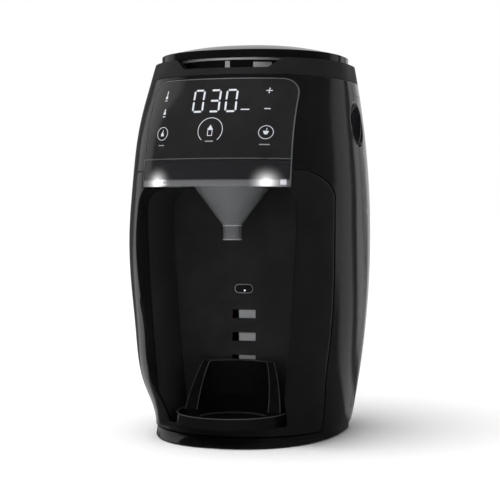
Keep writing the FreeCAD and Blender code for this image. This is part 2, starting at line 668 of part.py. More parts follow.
def fix_point(sketch, geometry, point, x_text, y_text):
    """Hold one point of a sketch at expressions of size names."""
    for kind, text in (("DistanceX", x_text), ("DistanceY", y_text)):
        index = sketch.addConstraint(Sketcher.Constraint(kind, -1, 1, geometry, point, size(text)))
        sketch.setExpression(f"Constraints[{index}]", linked(text))


def outline(sketch, corners):
    """Closed outline of straight lines through corners given as expressions."""
    places = [FreeCAD.Vector(size(x), size(y), 0) for x, y in corners]
    count = len(corners)
    for step in range(count):
        sketch.addGeometry(Part.LineSegment(places[step], places[(step + 1) % count]), False)
    for step in range(count):
        sketch.addConstraint(Sketcher.Constraint("Coincident", step, 2, (step + 1) % count, 1))
    for step, (x_text, y_text) in enumerate(corners):
        fix_point(sketch, step, 1, x_text, y_text)


def ring_line(sketch, x_text, y_text, radius):
    """Circle with its centre and radius held by expressions."""
    centre = FreeCAD.Vector(size(x_text), size(y_text), 0)
    index = sketch.addGeometry(Part.Circle(centre, FreeCAD.Vector(0, 0, 1), size(radius)), False)
    fix_point(sketch, index, 3, x_text, y_text)
    held = sketch.addConstraint(Sketcher.Constraint("Radius", index, size(radius)))
    sketch.setExpression(f"Constraints[{held}]", linked(radius))


def pad(body, sketch, length, name="Pad"):
    item = body.newObject("PartDesign::Pad", name)
    item.Profile = sketch
    bind(item, Length=length)
    return item


def turned(label, corners, x_text, y_text):
    """Round piece: an outline of radius and height, turned about an upright axis."""
    body = new_body(label)
    sketch = new_sketch(body, label + "_profile", "XZ_Plane")
    outline(sketch, corners)
    turn = body.newObject("PartDesign::Revolution", label + "_turn")
    turn.Profile = sketch
    turn.ReferenceAxis = (sketch, ["V_Axis"])
    turn.Angle = 360
    bind(body, Placement__Base__x=x_text, Placement__Base__y=y_text)
    return body


def slab(label, x_low, x_high, y_low, y_high, z_low, z_high):
    """Rectangular piece padded upwards from its footprint."""
    body = new_body(label)
    sketch = new_sketch(body, label + "_footprint", "XY_Plane")
    outline(sketch, [(x_low, y_low), (x_high, y_low), (x_high, y_high), (x_low, y_high)])
    pad(body, sketch, f"{z_high} - ({z_low})", label + "_pad")
    bind(body, Placement__Base__z=z_low)
    return body


turned("funnel", [
    ("spout_radius - funnel_wall", "spout_bottom"), ("spout_radius", "spout_bottom"),
    ("spout_radius", "spout_top"), ("funnel_radius", "carrier_bottom"),
    ("funnel_radius", "carrier_bottom + carrier_plate"), ("funnel_flange", "carrier_bottom + carrier_plate"),
    ("funnel_flange", "carrier_bottom + carrier_plate + 1.6"),
    ("funnel_radius - funnel_wall", "carrier_bottom + carrier_plate + 1.6"),
    ("funnel_radius - funnel_wall", "carrier_bottom + 1"),
    ("spout_radius - funnel_wall", "spout_top + 1"),
], "0", "bottle_axis")

turned("powder_container", [
    ("shaft_radius + running_gap", "container_bottom"), ("container_radius", "container_bottom"),
    ("container_radius", "container_top"), ("container_radius - container_wall", "container_top"),
    ("container_radius - container_wall", "container_bottom + container_wall"),
    ("shaft_radius + running_gap", "container_bottom + container_wall"),
], "0", "container_y")
container = NODES[-1]
drop = new_sketch(container, "drop_hole", "XY_Plane", "container_bottom")
ring_line(drop, "0", "bottle_axis - container_y", "drop_radius")
drop_cut = container.newObject("PartDesign::Pocket", "drop_pocket")
drop_cut.Profile = drop
drop_cut.Reversed = True
bind(drop_cut, Length="container_wall * 2")

turned("lid_seal", [
    ("seal_inner", "seal_bottom"), ("seal_outer", "seal_bottom"),
    ("seal_outer", "lid_bottom"), ("seal_inner", "lid_bottom"),
], "0", "container_y")

wheel = new_body("metering_wheel")
disc = new_sketch(wheel, "wheel_disc", "XY_Plane")
ring_line(disc, "0", "0", "wheel_radius")
ring_line(disc, "0", "0", "shaft_radius")
pad(wheel, disc, "wheel_thickness", "wheel_pad")
pocket_sketch = new_sketch(wheel, "pocket_circle", "XY_Plane")
ring_line(pocket_sketch, "0", "bottle_axis - container_y", "pocket_radius")
pocket = wheel.newObject("PartDesign::Pocket", "powder_pocket")
pocket.Profile = pocket_sketch
pocket.Reversed = True
bind(pocket, Length="wheel_thickness")
pockets = wheel.newObject("PartDesign::PolarPattern", "powder_pockets")
pockets.Originals = [pocket]
pockets.Axis = (pocket_sketch, ["N_Axis"])
pockets.Angle = 360
bind(pockets, Occurrences="pocket_count")
wheel.Tip = pockets
bind(wheel, Placement__Base__y="container_y", Placement__Base__z="wheel_bottom")

stirrer = new_body("stirrer")
hub = new_sketch(stirrer, "hub_ring", "XY_Plane")
ring_line(hub, "0", "0", "hub_radius")
ring_line(hub, "0", "0", "shaft_radius")
pad(stirrer, hub, "shaft_top - wheel_bottom - wheel_thickness - 2", "hub_pad")
arm_sketch = new_sketch(stirrer, "arm_outline", "XY_Plane", "2")
outline(arm_sketch, [("shaft_radius + 2", "-arm_width / 2"), ("arm_length", "-arm_width / 2"),
                     ("arm_length", "arm_width / 2"), ("shaft_radius + 2", "arm_width / 2")])
arm = pad(stirrer, arm_sketch, "arm_height", "arm_pad")
arms = stirrer.newObject("PartDesign::PolarPattern", "arms")
arms.Originals = [arm]
arms.Axis = (arm_sketch, ["N_Axis"])
arms.Angle = 360
arms.Occurrences = 4
stirrer.Tip = arms
bind(stirrer, Placement__Base__y="container_y", Placement__Base__z="wheel_bottom + wheel_thickness")

turned("drive_shaft", [("0", "shaft_bottom"), ("shaft_radius", "shaft_bottom"), ("shaft_radius", "shaft_top"),
                       ("0", "shaft_top")], "0", "container_y")
turned("drive_dog", [
    ("shaft_radius", "shaft_bottom + 2"), ("dog_radius", "shaft_bottom + 2"),
    ("dog_radius", "shaft_bottom + 2 + dog_height"), ("shaft_radius", "shaft_bottom + 2 + dog_height"),
], "0", "container_y")
turned("gear_motor", [
    ("0", "chamber_floor - wall - motor_length"), ("motor_radius", "chamber_floor - wall - motor_length"),
    ("motor_radius", "chamber_floor - wall - gearbox_length"),
    ("gearbox_radius", "chamber_floor - wall - gearbox_length"), ("gearbox_radius", "chamber_floor - wall"),
    ("shaft_radius", "chamber_floor - wall"), ("shaft_radius", "shaft_bottom - running_gap"),
    ("0", "shaft_bottom - running_gap"),
], "0", "container_y")
turned("pump", [
    ("0", "body_bottom + plate"), ("pump_radius + 2", "body_bottom + plate"),
    ("pump_radius + 2", "body_bottom + plate + 3"), ("pump_radius", "body_bottom + plate + 3"),
    ("pump_radius", "body_bottom + plate + pump_height"), ("0", "body_bottom + plate + pump_height"),
], "pump_x", "service_y")
turned("heater", [
    ("0", "body_bottom + plate"), ("heater_radius + 2", "body_bottom + plate"),
    ("heater_radius + 2", "body_bottom + plate + 3"), ("heater_radius", "body_bottom + plate + 3"),
    ("heater_radius", "body_bottom + plate + heater_height"), ("0", "body_bottom + plate + heater_height"),
], "heater_x", "service_y")

slab("control_board", "-control_board_half", "control_board_half", "control_board_y",
     "control_board_y + board_thickness", "control_board_bottom", "control_board_top")
slab("display_module", "-display_half", "display_half", "control_board_y - display_depth", "control_board_y",
     "display_bottom", "display_top")
slab("power_board", "-power_board_half", "power_board_half", "seam - wall - 4 - board_thickness",
     "seam - wall - 4", "power_board_bottom", "power_board_top")
slab("power_inlet", "-inlet_half", "inlet_half", "inlet_face - inlet_depth", "inlet_face",
     "inlet_bottom", "inlet_top")

pin = doc.addObject("Part::Cylinder", "lid_hinge_pin")
pin.Placement.Rotation = FreeCAD.Rotation(FreeCAD.Vector(0, 1, 0), 90)
bind(pin, Radius="pin_radius", Height="2 * ear_outer", Placement__Base__x="-ear_outer",
     Placement__Base__y="hinge_y", Placement__Base__z="hinge_z")
node(pin, "lid_hinge_pin")

feature("sensor_window", pill("pill_width", "pill_height", "bay_back - 0.3", "bay_back + liner_wall"))
feature("sensor_board", block("-pill_width / 2 - 4", "pill_width / 2 + 4", "bay_back + liner_wall",
                              "bay_back + liner_wall + board_thickness", "pill_level - 9", "pill_level + 9"))


def group(label, solids):
    """Identical fasteners or fittings kept together as separate solids."""
    return feature(label, Part.makeCompound(solids))


group("rubber_feet", [column(f"{side} * foot_across", y_name, 0, "plinth_top - plate", "foot_radius")
                      for side in (-1, 1) for y_name in ("foot_front", "foot_back")])
group("base_screws", [
    column(x, y_name, "plinth_top - plate - screw_head_height", "plinth_top - plate", "screw_head_radius").fuse(
        column(x, y_name, "plinth_top - plate", "body_bottom + plate", "screw_radius")).removeSplitter()
    for x, y_name in screw_places()])
group("bay_lamps", [column(f"{side} * lamp_across", "bay_lip + lamp_radius + 3", "bay_top + liner_wall",
                           "bay_top + liner_wall + lamp_height", "lamp_radius") for side in (-1, 1)])
group("board_posts", [rod_along_y(f"{side} * (power_board_half - post_inset)", "seam - wall - 4", "seam - wall",
                                  level, "post_radius")
                      for side in (-1, 1)
                      for level in ("power_board_bottom + post_inset", "power_board_top - post_inset")])
group("control_posts", [
    rod_along_y(f"{side} * control_post_x", "control_board_y + board_thickness", "control_board_y + 20", level,
                "post_radius").cut(column(0, "container_y", 0, "overall_height", "well_radius + well_wall - fit_gap"))
    for side in (-1, 1)
    for level in ("control_board_bottom + post_inset", "control_board_top - post_inset")])
inlet_tube = rod_along_x("pump_x", "dock_x", "spigot_end", "dock_z", "hose_radius")
feature("inlet_hose", inlet_tube.cut([
    column("pump_x", "service_y", 0, "overall_height", "pump_radius"),
    rod_along_y("dock_x", FRONT, BEHIND, "dock_z", "dock_radius"),
]))

doc.recompute()
for item in doc.Objects:
    if "Invalid" in item.State or "Error" in item.State:
        raise RuntimeError(f"{item.Name} failed: {item.State}")
os.makedirs("parts", exist_ok=True)
for item in NODES:
    shape = item.Shape
    if shape.isNull() or not shape.isValid():
        raise RuntimeError(f"{item.Label} has no valid shape")
    box = shape.BoundBox
    print(f"{item.Label}: {len(shape.Solids)} solids, {shape.Volume / 1000:.1f} cm3, "
          f"x {box.XMin:.1f} {box.XMax:.1f} y {box.YMin:.1f} {box.YMax:.1f} z {box.ZMin:.1f} {box.ZMax:.1f}")
    shape.exportStep(f"parts/{item.Label}.step")
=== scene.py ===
# %% [markdown]
# # A formula maker, dressed
# The solids of the machine are already packed: shell, panel, funnel, tray, tank and the parts inside.
# They come in as a fixed frame, in metres, and nothing in it is moved. This lesson gives every one of
# them a finish, adds the lit marks on the touch panel and the small details that a solid model leaves
# out, and then sets the light and the camera.

# %% Load the frame
import math

import bpy
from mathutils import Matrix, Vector


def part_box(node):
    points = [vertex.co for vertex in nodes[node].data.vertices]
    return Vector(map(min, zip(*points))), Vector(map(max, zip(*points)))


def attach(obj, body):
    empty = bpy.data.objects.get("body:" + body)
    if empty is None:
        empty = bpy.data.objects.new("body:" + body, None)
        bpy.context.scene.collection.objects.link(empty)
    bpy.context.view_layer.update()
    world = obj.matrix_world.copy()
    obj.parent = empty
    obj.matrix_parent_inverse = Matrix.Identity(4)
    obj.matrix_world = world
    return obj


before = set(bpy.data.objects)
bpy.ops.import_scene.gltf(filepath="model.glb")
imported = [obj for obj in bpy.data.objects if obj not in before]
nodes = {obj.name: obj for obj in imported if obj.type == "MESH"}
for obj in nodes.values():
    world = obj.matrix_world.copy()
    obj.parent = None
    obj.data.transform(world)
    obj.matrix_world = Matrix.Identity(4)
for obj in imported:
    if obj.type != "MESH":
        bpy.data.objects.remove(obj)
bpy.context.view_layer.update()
MM = 0.001

# %% [markdown]
# ## The camera comes first
# The photograph was taken from a little round to the right of the front, almost level, with a long lens.
# The place below was found from the ellipses of the foot and the collar: 16 degrees round, one degree
# above the middle of the machine, and about 1.2 m away. A small shift frames it.

# %% Camera
CAMERA_ROUND = math.radians(16.2)
CAMERA_ABOVE = math.radians(1.3)
CAMERA_AWAY = 1.2333
AIM = Vector((0, -0.00385, 0.180))
FOCAL_PIXELS = 1347.8
FRAME_PIXELS = 500
AIM_PIXEL = (244.9, 237.4)

camera_data = bpy.data.cameras.new("camera")
camera = bpy.data.objects.new("camera", camera_data)
bpy.context.scene.collection.objects.link(camera)
outward = Vector((math.sin(CAMERA_ROUND) * math.cos(CAMERA_ABOVE),
                  -math.cos(CAMERA_ROUND) * math.cos(CAMERA_ABOVE), math.sin(CAMERA_ABOVE)))
camera.location = AIM + outward * CAMERA_AWAY
camera.rotation_euler = outward.to_track_quat("Z", "Y").to_euler()
camera_data.sensor_width = 36
camera_data.lens = FOCAL_PIXELS / FRAME_PIXELS * camera_data.sensor_width
camera_data.shift_x = (FRAME_PIXELS / 2 - AIM_PIXEL[0]) / FRAME_PIXELS
camera_data.shift_y = (AIM_PIXEL[1] - FRAME_PIXELS / 2) / FRAME_PIXELS
bpy.context.scene.camera = camera
bpy.context.scene.view_settings.view_transform = "Standard"
print("lens", round(camera_data.lens, 1), "mm")

# %% [markdown]
# ## A moulded plastic finish
# Gloss black plastic is never one flat value: the mould leaves a faint unevenness that bends the
# reflections, and handling leaves patches that shine a little less. One function builds such a finish
# from noise in Object coordinates. A Bevel node rounds the reflections at sharp edges, as a real moulded
# edge has a radius of about half a millimetre.

# %% Helper: material graph
def new_graph(name):
    material = bpy.data.materials.new(name)
    material.use_nodes = True
    tree = material.node_tree
    shader = tree.nodes["Principled BSDF"]
    return material, tree, shader


def noise_of(tree, scale, detail=3.0):
    place = tree.nodes.new("ShaderNodeTexCoord")
    noise = tree.nodes.new("ShaderNodeTexNoise")
    noise.inputs["Scale"].default_value = scale
    noise.inputs["Detail"].default_value = detail
    tree.links.new(place.outputs["Object"], noise.inputs["Vector"])
    return noise.outputs["Fac"]


def spread(tree, source, low, high):
    """Stretch a noise value, which stays near its middle, over a range."""
    stretch = tree.nodes.new("ShaderNodeMapRange")
    stretch.inputs["From Min"].default_value = 0.3
    stretch.inputs["From Max"].default_value = 0.7
    stretch.inputs["To Min"].default_value = low
    stretch.inputs["To Max"].default_value = high
    tree.links.new(source, stretch.inputs["Value"])
    return stretch.outputs["Result"]


def tinted(tree, source, dark, light):
    ramp = tree.nodes.new("ShaderNodeValToRGB")
    ramp.color_ramp.elements[0].position = 0.35
    ramp.color_ramp.elements[1].position = 0.65
    ramp.color_ramp.elements[0].color = (*dark, 1)
    ramp.color_ramp.elements[1].color = (*light, 1)
    tree.links.new(source, ramp.inputs["Fac"])
    return ramp.outputs["Color"]


# %% Moulded plastic
def moulded(name, color, roughness, grain=900, bump=0.02, wave=0.0, edge=0.5 * MM, unevenness=0.15):
    """Plastic with slight patches, a fine grain and softened edges."""
    material, tree, shader = new_graph(name)
    patches = noise_of(tree, 30)
    dark = tuple(value * (1 - unevenness) for value in color)
    light = tuple(min(1, value * (1 + unevenness)) for value in color)
    tree.links.new(tinted(tree, patches, dark, light), shader.inputs["Base Color"])
    tree.links.new(spread(tree, patches, roughness * 0.85, roughness * 1.2), shader.inputs["Roughness"])
    rounded = tree.nodes.new("ShaderNodeBevel")
    rounded.samples = 4
    rounded.inputs["Radius"].default_value = edge
    fine = tree.nodes.new("ShaderNodeBump")
    fine.inputs["Strength"].default_value = bump
    fine.inputs["Distance"].default_value = 0.2 * MM
    tree.links.new(noise_of(tree, grain, 4), fine.inputs["Height"])
    tree.links.new(rounded.outputs["Normal"], fine.inputs["Normal"])
    last = fine
    if wave:
        broad = tree.nodes.new("ShaderNodeBump")
        broad.inputs["Strength"].default_value = wave
        broad.inputs["Distance"].default_value = 1 * MM
        tree.links.new(noise_of(tree, 14, 1), broad.inputs["Height"])
        tree.links.new(fine.outputs["Normal"], broad.inputs["Normal"])
        last = broad
    tree.links.new(last.outputs["Normal"], shader.inputs["Normal"])
    return material


gloss_black = moulded("gloss_black", (0.0055, 0.0055, 0.006), 0.08, bump=0.003, wave=0.015)
frame_black = moulded("frame_black", (0.0085, 0.0085, 0.0085), 0.09, bump=0.003, wave=0.015, edge=2.5 * MM)
collar_dark = moulded("collar_dark", (0.011, 0.011, 0.012), 0.5, grain=2500, bump=0.25)
bay_black = moulded("bay_black", (0.031, 0.031, 0.031), 0.22, grain=1800, bump=0.05)
inner_black = moulded("inner_black", (0.02, 0.02, 0.021), 0.5, grain=2000, bump=0.2)
# The light grey of the slot keepers; laid on the powder container's neck it is painted light for the bright
# gaps in the notch.
keeper_grey = moulded("keeper_grey", (0.42, 0.425, 0.435), 0.4, grain=2000, bump=0.15)
# A grey lighter than the black tray: on the tray and rest beads it is a painted highlight line.
edge_highlight_grey = moulded("edge_highlight_grey", (0.05, 0.05, 0.052), 0.15, bump=0.01, edge=0.2 * MM)
# The panel trim's light grey; on the grip beads the same grey is a painted highlight round the recesses.
trim_grey = moulded("trim_grey", (0.1, 0.105, 0.11), 0.3, grain=2000, bump=0.05, edge=0.2 * MM)
wheel_white = moulded("wheel_white", (0.7, 0.7, 0.69), 0.4, grain=1500, bump=0.1)
rubber_black = moulded("rubber_black", (0.015, 0.015, 0.015), 0.75, grain=3000, bump=0.4)
silicone = moulded("silicone", (0.5, 0.5, 0.48), 0.45, grain=1500, bump=0.1)
board_green = moulded("board_green", (0.01, 0.09, 0.045), 0.35, grain=500, bump=0.3, unevenness=0.35)
panel_black = moulded("panel_black", (0.017, 0.017, 0.017), 0.07, bump=0.001, wave=0.01, edge=0.3 * MM)
display_dark = moulded("display_dark", (0.003, 0.003, 0.0035), 0.2, bump=0.01)
print("plastic finishes made")

# %% [markdown]
# ## Clear and smoked plastic
# The funnel is clear, the drawer and the tank are smoked. Transmission in the shader carries the
# light through, and a tinted base colour stands for the smoke. The surface keeps a trace of grain.

# %% Clear plastic
def clear(name, color, roughness, through):
    """See-through plastic: the colour tints what passes, and through is how much does."""
    material, tree, shader = new_graph(name)
    patches = noise_of(tree, 40)
    darker = tuple(value * 0.9 for value in color)
    tree.links.new(tinted(tree, patches, darker, color), shader.inputs["Base Color"])
    tree.links.new(spread(tree, patches, roughness, roughness * 1.6), shader.inputs["Roughness"])
    shader.inputs["Transmission Weight"].default_value = through
    shader.inputs["IOR"].default_value = 1.49
    fine = tree.nodes.new("ShaderNodeBump")
    fine.inputs["Strength"].default_value = 0.02
    fine.inputs["Distance"].default_value = 0.2 * MM
    tree.links.new(noise_of(tree, 60, 2), fine.inputs["Height"])
    tree.links.new(fine.outputs["Normal"], shader.inputs["Normal"])
    return material


funnel_clear = clear("funnel_clear", (0.66, 0.67, 0.69), 0.12, 0.74)
# Lighter and less clear than the funnel: on the spout rings it is a painted highlight of the spout's edges.
clear_edge_highlight = clear("clear_edge_highlight", (0.85, 0.86, 0.88), 0.1, 0.35)
drawer_smoked = clear("drawer_smoked", (0.06, 0.06, 0.065), 0.04, 0.7)
carrier_smoked = clear("carrier_smoked", (0.14, 0.14, 0.15), 0.06, 0.8)
tank_smoked = clear("tank_smoked", (0.014, 0.014, 0.016), 0.07, 0.3)
window_dark = clear("window_dark", (0.03, 0.03, 0.035), 0.05, 0.4)


def clear_lip(material, level, soft):
    """Leave the smoke out below a level, where the drawer front thins to a clear lip."""
    tree = material.node_tree
    shader = tree.nodes["Principled BSDF"]
    place = tree.nodes.new("ShaderNodeTexCoord")
    split = tree.nodes.new("ShaderNodeSeparateXYZ")
    tree.links.new(place.outputs["Object"], split.inputs["Vector"])
    step = tree.nodes.new("ShaderNodeMapRange")
    step.inputs["From Min"].default_value = level - soft
    step.inputs["From Max"].default_value = level + soft
    tree.links.new(split.outputs["Z"], step.inputs["Value"])
    smoke = tree.nodes.new("ShaderNodeMix")
    smoke.data_type = "RGBA"
    smoke.inputs["A"].default_value = (0.42, 0.42, 0.44, 1)
    tree.links.new(step.outputs["Result"], smoke.inputs["Factor"])
    tree.links.new(shader.inputs["Base Color"].links[0].from_socket, smoke.inputs["B"])
    tree.links.new(smoke.outputs["Result"], shader.inputs["Base Color"])


def painted_glow_spots(material, across, level, reach, strength):
    """Painted glow: emission round a point at each side of the clear plastic, standing in for the glint of
    a lamp behind it.
    """
    tree = material.node_tree
    shader = tree.nodes["Principled BSDF"]
    place = tree.nodes.new("ShaderNodeTexCoord")
    folded = tree.nodes.new("ShaderNodeVectorMath")
    folded.operation = "ABSOLUTE"
    tree.links.new(place.outputs["Object"], folded.inputs[0])
    flat = tree.nodes.new("ShaderNodeVectorMath")
    flat.operation = "MULTIPLY"
    flat.inputs[1].default_value = (1, 0, 1)
    tree.links.new(folded.outputs["Vector"], flat.inputs[0])
    away = tree.nodes.new("ShaderNodeVectorMath")
    away.operation = "DISTANCE"
    away.inputs[1].default_value = (across, 0, level)
    tree.links.new(flat.outputs["Vector"], away.inputs[0])
    near = tree.nodes.new("ShaderNodeMapRange")
    near.inputs["From Max"].default_value = reach
    near.inputs["To Min"].default_value = 1
    near.inputs["To Max"].default_value = 0
    tree.links.new(away.outputs["Value"], near.inputs["Value"])
    fade = tree.nodes.new("ShaderNodeMath")
    fade.operation = "POWER"
    fade.inputs[1].default_value = 3
    tree.links.new(near.outputs["Result"], fade.inputs[0])
    gain = tree.nodes.new("ShaderNodeMath")
    gain.operation = "MULTIPLY"
    gain.inputs[1].default_value = strength
    tree.links.new(fade.outputs["Value"], gain.inputs[0])
    shader.inputs["Emission Color"].default_value = (1, 1, 1, 1)
    tree.links.new(gain.outputs["Value"], shader.inputs["Emission Strength"])


clear_lip(drawer_smoked, 0.2305, 0.0008)
# Painted glints: the drawer's clear lip glows round both lamps by emission in its own surface.
painted_glow_spots(drawer_smoked, 0.048, 0.2285, 0.017, 1.3)
print("clear finishes made")

# %% [markdown]
# ## Metal parts
# The pin, the shaft and the motor are turned metal. Brushing is a noise stretched along one axis.

# %% Turned metal
def metal(name, color, roughness, stretch=(1, 1, 40)):
    material, tree, shader = new_graph(name)
    place = tree.nodes.new("ShaderNodeTexCoord")
    mapping = tree.nodes.new("ShaderNodeMapping")
    mapping.inputs["Scale"].default_value = stretch
    noise = tree.nodes.new("ShaderNodeTexNoise")
    noise.inputs["Scale"].default_value = 60
    tree.links.new(place.outputs["Object"], mapping.inputs["Vector"])
    tree.links.new(mapping.outputs["Vector"], noise.inputs["Vector"])
    darker = tuple(value * 0.8 for value in color)
    tree.links.new(tinted(tree, noise.outputs["Fac"], darker, color), shader.inputs["Base Color"])
    uneven = spread(tree, noise.outputs["Fac"], roughness * 0.7, roughness * 1.3)
    tree.links.new(uneven, shader.inputs["Roughness"])
    shader.inputs["Metallic"].default_value = 1
    return material


steel = metal("steel", (0.56, 0.56, 0.58), 0.25)
motor_metal = metal("motor_metal", (0.5, 0.5, 0.52), 0.35)

# %% [markdown]
# ## Lit marks
# The digits and touch symbols are lit from behind the glass. A weak even glow, a little uneven as a
# light guide is, keeps them readable without lighting the scene.

# %% Lit marks
def lit(name, color, strength):
    material, tree, shader = new_graph(name)
    shader.inputs["Base Color"].default_value = (*[value * 0.3 for value in color], 1)
    shader.inputs["Roughness"].default_value = 0.3
    glow = tinted(tree, noise_of(tree, 120), tuple(value * 0.85 for value in color), color)
    tree.links.new(glow, shader.inputs["Emission Color"])
    shader.inputs["Emission Strength"].default_value = strength
    return material


mark_light = lit("mark_light", (0.72, 0.75, 0.8), 0.75)
mark_dim = lit("mark_dim", (0.5, 0.52, 0.56), 0.4)
lamp_light = lit("lamp_light", (0.95, 0.97, 1.0), 3)
point_light = lit("point_light", (0.95, 0.97, 1.0), 1.2)

# %% [markdown]
# ## Dress the solids
# Each node keeps its shape and gets the finish of the real piece.

# %% Finishes of the nodes
FINISHES = {
    gloss_black: ["body_shell", "lid", "plinth", "bottle_tray", "powder_container", "base_pan",
                  "tank_cover"],
    frame_black: ["front_frame"],
    collar_dark: ["top_collar"],
    bay_black: ["bay_liner"],
    inner_black: ["inner_chassis", "tank_dock", "drawer_rails", "water_nozzle", "drive_dog", "power_inlet",
                  "board_posts", "control_posts"],
    keeper_grey: ["slot_keepers"],
    trim_grey: ["panel_trim"],
    wheel_white: ["metering_wheel", "stirrer"],
    rubber_black: ["rubber_feet"],
    silicone: ["lid_seal", "pump_hose", "nozzle_hose", "inlet_hose"],
    board_green: ["control_board", "power_board", "sensor_board"],
    panel_black: ["panel_glass"],
    display_dark: ["display_module"],
    funnel_clear: ["funnel"],
    drawer_smoked: ["drawer_front"],
    carrier_smoked: ["drawer_carrier"],
    tank_smoked: ["water_tank", "tank_spigot"],
    window_dark: ["sensor_window"],
    steel: ["lid_hinge_pin", "drive_shaft", "base_screws"],
    motor_metal: ["gear_motor", "pump", "heater"],
    lamp_light: ["bay_lamps"],
}
for material, names in FINISHES.items():
    for name in names:
        nodes[name].data.materials.clear()
        nodes[name].data.materials.append(material)
undressed = set(nodes) - {name for names in FINISHES.values() for name in names}
print("left without a finish:", sorted(undressed))

# %% [markdown]
# ## How a mark is made
# A mark starts as a flat shape standing in front of the panel, drawn with the mesh tools. It is cut fine
# enough to bend, and each of its points is then pushed straight back on to the glass, so that it follows
# the curve as a printed film does. A Solidify gives it the thickness of the film.

# %% Helpers: select, join and lay on a surface
FAR_FRONT = -0.2
FILM = 0.12 * MM
LIFT = 0.05 * MM
CORNER_SHARE = 0.42
RING_STEPS = 64


def select_only(*objects):
    bpy.ops.object.select_all(action="DESELECT")
    for item in objects:
        item.select_set(True)
    bpy.context.view_layer.objects.active = objects[0]


def joined(parts, name):
    select_only(*parts)
    if len(parts) > 1:
        bpy.ops.object.join()
    whole = bpy.context.view_layer.objects.active
    whole.name = name
    whole.data.name = name
    return whole


def flat_bar(x, z, width, height, turn=0.0):
    """A flat bar facing the front, at x and z in millimetres, turned about Y."""
    bpy.ops.object.select_all(action="DESELECT")
    bpy.ops.mesh.primitive_plane_add(size=1, location=(x * MM, FAR_FRONT, z * MM),
                                     rotation=(math.pi / 2, 0, 0))
    bar = bpy.context.active_object
    bar.scale = (width * MM, height * MM, 1)
    bar.rotation_euler = (math.pi / 2, turn, 0)
    bpy.ops.object.transform_apply(location=True, rotation=True, scale=True)
    return bar


def pointed_bar(x, z, width, height, turn=0.0):
    """A bar whose four corners are cut, like a segment of a digit."""
    bar = flat_bar(x, z, width, height, turn)
    bpy.ops.object.mode_set(mode="EDIT")
    bpy.ops.mesh.select_all(action="SELECT")
    bpy.ops.mesh.bevel(offset=min(width, height) * CORNER_SHARE * MM, segments=1, affect="VERTICES")
    bpy.ops.object.mode_set(mode="OBJECT")
    return bar


def flat_ring(x, z, radius, line, open_below=None):
    """A ring drawn as a disc, inset and opened; open_below leaves its lower part out."""
    bpy.ops.object.select_all(action="DESELECT")
    bpy.ops.mesh.primitive_circle_add(vertices=RING_STEPS, radius=radius * MM, fill_type="NGON",
                                      location=(x * MM, FAR_FRONT, z * MM), rotation=(math.pi / 2, 0, 0))
    ring = bpy.context.active_object
    bpy.ops.object.transform_apply(location=True, rotation=True, scale=True)
    bpy.ops.object.mode_set(mode="EDIT")
    bpy.ops.mesh.select_all(action="SELECT")
    bpy.ops.mesh.inset(thickness=line * MM)
    bpy.ops.mesh.delete(type="FACE")
    bpy.ops.object.mode_set(mode="OBJECT")
    if open_below is not None:
        for face in ring.data.polygons:
            face.select = face.center.z < (z + open_below) * MM
        bpy.ops.object.mode_set(mode="EDIT")
        bpy.ops.mesh.select_mode(type="FACE")
        bpy.ops.mesh.delete(type="FACE")
        bpy.ops.object.mode_set(mode="OBJECT")
    return ring


def lay_on(piece, node_name):
    """Push every point straight back on to a node's front surface."""
    surface = nodes[node_name]
    for vertex in piece.data.vertices:
        start = Vector((vertex.co.x, FAR_FRONT, vertex.co.z))
        hit, where, _, _ = surface.ray_cast(start, Vector((0, 1, 0)))
        if hit:
            vertex.co.y = where.y - LIFT


def film(piece, node_name, material, body="housing"):
    """Finish a flat mark: cut it fine, lay it on its surface and give it a thickness."""
    select_only(piece)
    bpy.ops.object.mode_set(mode="EDIT")
    bpy.ops.mesh.select_all(action="SELECT")
    bpy.ops.mesh.subdivide(number_cuts=2)
    bpy.ops.object.mode_set(mode="OBJECT")
    lay_on(piece, node_name)
    thick = piece.modifiers.new("film", "SOLIDIFY")
    thick.thickness = FILM
    thick.offset = 0
    bpy.ops.object.modifier_apply(modifier="film")
    piece.data.materials.clear()
    piece.data.materials.append(material)
    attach(piece, body)
    print(piece.name, len(piece.data.polygons), "faces")


# %% [markdown]
# ## The display digits
# Three seven-segment digits show a plain volume. Each segment is a pointed bar, and the digit leans a
# little, as on a real display.

# %% Display digits
SEGMENTS = {"0": "abcdef", "3": "abcdg"}
SEGMENT_GAP = 1.6
SEGMENT_TRIM = 1.4
DIGIT_HEIGHT = 19
DIGIT_WIDTH = 8.7
STROKE = 1.6
LEAN = math.radians(-5)
DISPLAY_LEVEL = 298
DIGIT_PITCH = 14.5
DISPLAY_MIDDLE = -0.4
UNIT_DASH = (27, 290, 7, 0.9)


def digit(text, x):
    half_w, half_h = DIGIT_WIDTH / 2, DIGIT_HEIGHT / 2
    places = {
        "a": (0, half_h, True), "g": (0, 0, True), "d": (0, -half_h, True),
        "f": (-half_w, half_h / 2, False), "b": (half_w, half_h / 2, False),
        "e": (-half_w, -half_h / 2, False), "c": (half_w, -half_h / 2, False),
    }
    bars = []
    for segment in SEGMENTS[text]:
        across, up, level = places[segment]
        width, height = (DIGIT_WIDTH - SEGMENT_GAP, STROKE) if level else (STROKE, half_h - SEGMENT_TRIM)
        bars.append(pointed_bar(x + across + up * math.tan(LEAN), DISPLAY_LEVEL + up, width, height,
                                0 if level else LEAN))
    return bars


digit_bars = []
for place, text in enumerate("030"):
    digit_bars += digit(text, DISPLAY_MIDDLE + (place - 1) * DIGIT_PITCH)
digit_bars.append(flat_bar(*UNIT_DASH))
film(joined(digit_bars, "display_digits"), "panel_glass", mark_light)

# %% [markdown]
# ## Touch symbols
# Three touch fields sit in a row under the digits: a large ring in the middle with a bottle in it, and a
# small ring at each side, one with a cup and one with drops. Plus and minus stand at the right, and two
# small signs for heat and powder at the left. Short plain dashes stand under the rings.

